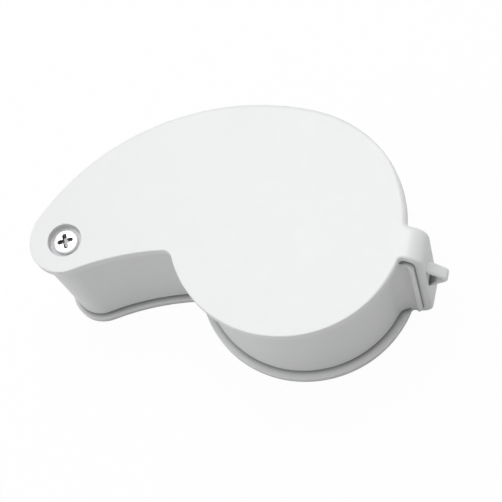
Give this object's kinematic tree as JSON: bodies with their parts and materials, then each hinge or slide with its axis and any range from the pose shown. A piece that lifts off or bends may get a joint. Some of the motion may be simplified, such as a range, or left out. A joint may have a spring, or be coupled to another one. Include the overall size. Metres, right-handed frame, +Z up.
{
  "type": "folding illuminated loupe",
  "caption": "Pocket magnifier whose drop-shaped lens case swings on a pivot screw out of a two-plate cover, with lamps, cells, a switch and a lanyard loop.",
  "frame": {"origin": "on the lens axis at the outer face of the cover's lower plate, which the closed loupe lies on", "axes": "+X from the pivot side to the lanyard loop, +Z up along the lens axis to the eye side, +Y to the long curved back"},
  "size_m": [0.0573, 0.0335, 0.0215],
  "materials": {
    "cover_enamel": "satin pearl white enamel over die casting",
    "case_paint": "satin silver paint over die casting",
    "steel": "bright nickel plated steel",
    "spring_steel": "rolled spring steel",
    "brass": "turned",
    "black_anodised": "black anodised, turned",
    "lens_glass": "polished optical glass",
    "lamp_epoxy": "clear cast epoxy",
    "white_plastic": "moulded",
    "black_plastic": "moulded",
    "circuit_board": "solder mask on glass laminate",
    "wire_red": "insulated wire",
    "wire_black": "insulated wire"
  },
  "bodies": {
    "cover": {"cover": "cover_enamel", "pivot_post": "steel", "pivot_screw": "steel", "upper_washer": "spring_steel", "lower_washer": "spring_steel"},
    "lens_case": {"lens_housing": "case_paint", "housing_base": "case_paint", "base_screw_1": "steel", "base_screw_2": "steel", "base_screw_3": "steel", "pivot_bush": "brass", "retaining_ring": "black_anodised", "upper_lens": "lens_glass", "lens_spacer": "black_anodised", "lower_lens": "lens_glass", "lamp_board": "circuit_board", "lamp_ring": "white_plastic", "lamp_1": "lamp_epoxy", "lamp_2": "lamp_epoxy", "battery_tube": "black_plastic", "cell_1": "steel", "cell_2": "steel", "cell_3": "steel", "cell_contact": "spring_steel", "switch_case": "black_plastic", "switch_wire": "wire_red", "lamp_wire": "wire_black"},
    "battery_cover": {"battery_cover": "case_paint", "cell_spring": "spring_steel"},
    "switch_slider": {"switch_slider": "black_plastic"}
  },
  "joints": [
    {"name": "case_swing", "type": "hinge", "parent": "cover", "child": "lens_case", "pos_m": [-0.03025, -0.00708, 0.01075], "axis": [0, 0, 1], "continuous": true},
    {"name": "battery_cover_slide", "type": "slide", "parent": "lens_case", "child": "battery_cover", "axis": [0, 1, 0], "range_m": [0, 0.013]},
    {"name": "switch_slide", "type": "slide", "parent": "lens_case", "child": "switch_slider", "axis": [0.9133, 0.4073, 0], "range_m": [0, 0.002]}
  ]
}
